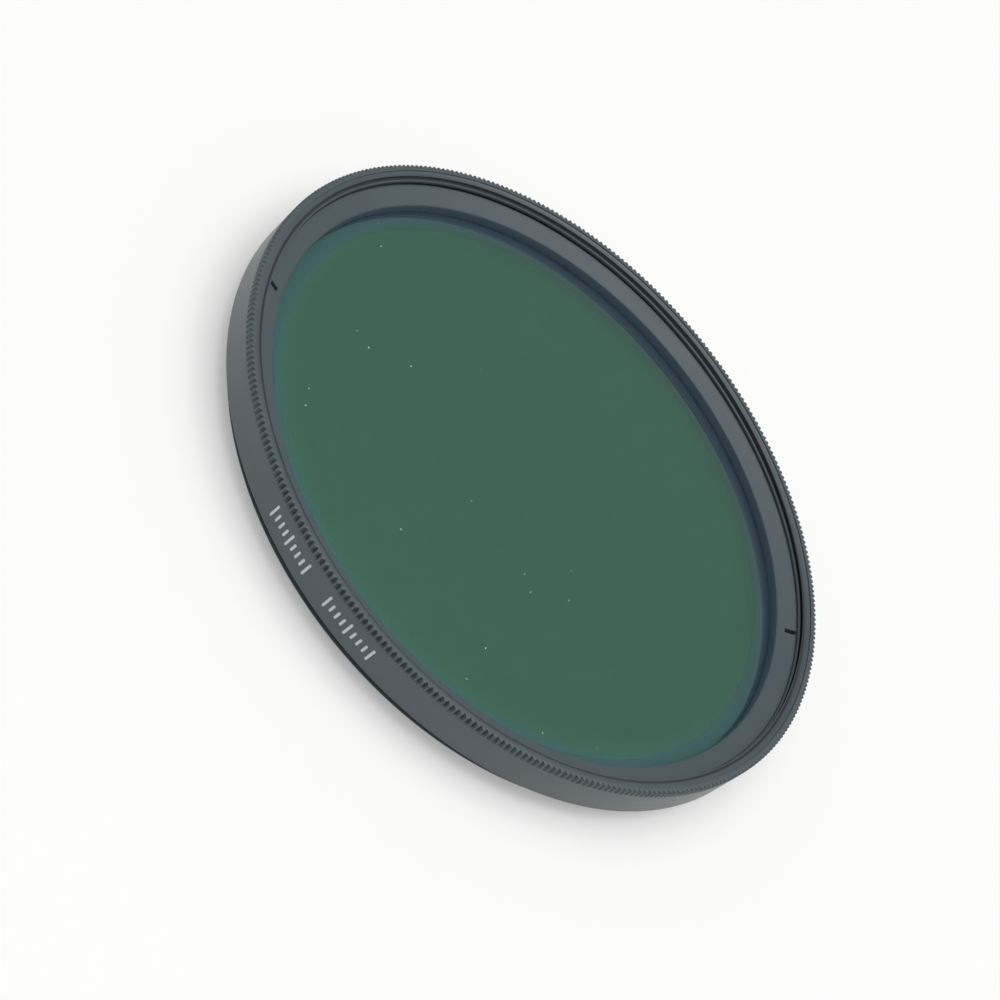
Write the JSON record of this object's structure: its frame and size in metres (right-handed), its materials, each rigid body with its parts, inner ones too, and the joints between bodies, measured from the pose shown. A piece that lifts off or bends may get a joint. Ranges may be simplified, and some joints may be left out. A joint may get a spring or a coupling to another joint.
{
  "type": "colour lens filter",
  "caption": "Round screw-in colour filter: knurled black frame ring with threads front and rear, green glass disc and slotted retaining ring.",
  "frame": {"origin": "centre of the rear face, on the optical axis", "axes": "+Z along the optical axis, towards the knurled front; +X through one of the two spanner slots"},
  "size_m": [0.0694, 0.0694, 0.0062],
  "materials": {
    "black_frame": "satin black anodised",
    "green_glass": "polished, dyed in the mass",
    "black_retaining_ring": "matte black anodised"
  },
  "bodies": {
    "root": {"frame_ring": "black_frame", "glass_disc": "green_glass", "retaining_ring": "black_retaining_ring"}
  },
  "joints": []
}
